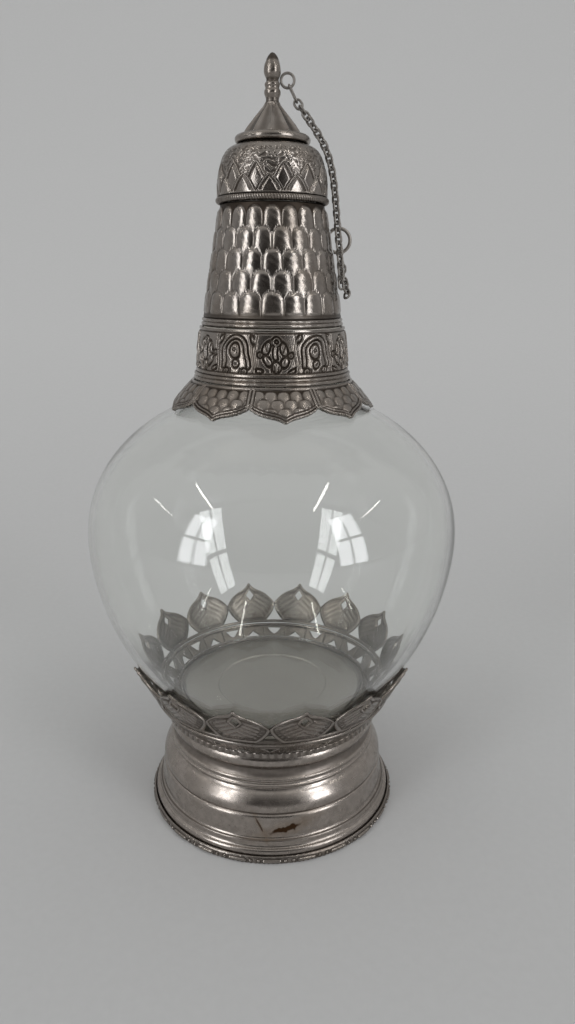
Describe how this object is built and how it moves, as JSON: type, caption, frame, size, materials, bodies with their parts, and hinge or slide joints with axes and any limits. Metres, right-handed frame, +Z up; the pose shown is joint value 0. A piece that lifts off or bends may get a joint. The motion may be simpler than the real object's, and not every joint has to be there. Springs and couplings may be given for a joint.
{
  "type": "rosewater sprinkler",
  "caption": "Glass flask in a raised metal foot, petal gallery and scaled neck, with a lift-off cap hung on a chain, for sprinkling rosewater.",
  "frame": {"origin": "centre of the foot's bottom edge, on the surface the object stands on", "axes": "+Z up the bottle's axis, -Y toward the viewer of the picture, +X toward the side with the ring"},
  "size_m": [0.14, 0.14, 0.28],
  "materials": {
    "foot_metal": "polished, lightly tarnished nickel silver",
    "white_metal": "raised and chased nickel silver, tarnished in the recesses",
    "dull_metal": "dull tarnished nickel silver",
    "chain_metal": "dark tarnished wire",
    "glass": "clear blown glass",
    "plaster": "set plaster",
    "cork": "turned cork"
  },
  "bodies": {
    "vessel": {"foot": "foot_metal", "foot_border": "foot_metal", "seat_plate": "dull_metal", "gallery_collar": "dull_metal", "gallery_band": "white_metal", "gallery_wire": "white_metal", "gallery_petals": "white_metal", "glass_bottle": "glass", "neck_skirt": "white_metal", "skirt_moulding": "white_metal", "frieze_band": "dull_metal", "frieze_moulding": "white_metal", "scale_sleeve": "white_metal", "rope_wire": "white_metal", "shoulder_dome": "dull_metal", "neck_cement": "plaster", "mouth_collar": "dull_metal", "sprinkler_rose": "dull_metal", "sleeve_ring": "chain_metal"},
    "cap": {"cap_rim": "white_metal", "cap_cone": "dull_metal", "cap_plug": "cork", "cap_stud": "dull_metal", "finial": "white_metal", "finial_eye": "chain_metal"},
    "chain_upper": {"cap_end_link": "chain_metal", "chain_upper_links": "chain_metal"},
    "chain_lower": {"ring_end_link": "chain_metal", "chain_lower_links": "chain_metal"}
  },
  "joints": [
    {"name": "cap_lift", "type": "slide", "parent": "vessel", "child": "cap", "axis": [0, 0, 1], "range_m": [0, 0.0175]},
    {"name": "chain_upper_swing", "type": "hinge", "parent": "cap", "child": "chain_upper", "pos_m": [0.00542, 0, 0.27052], "axis": [0, -1, 0], "range_deg": [0, 11.25]},
    {"name": "chain_lower_swing", "type": "hinge", "parent": "vessel", "child": "chain_lower", "pos_m": [0.02421, 0, 0.21933], "axis": [0, -1, 0], "range_deg": [0, 110.5]}
  ],
  "couplings": [
    {"joint": "chain_upper_swing", "follows": "cap_lift", "rad_per_m": 11.12},
    {"joint": "chain_lower_swing", "follows": "cap_lift", "rad_per_m": 109.71}
  ]
}
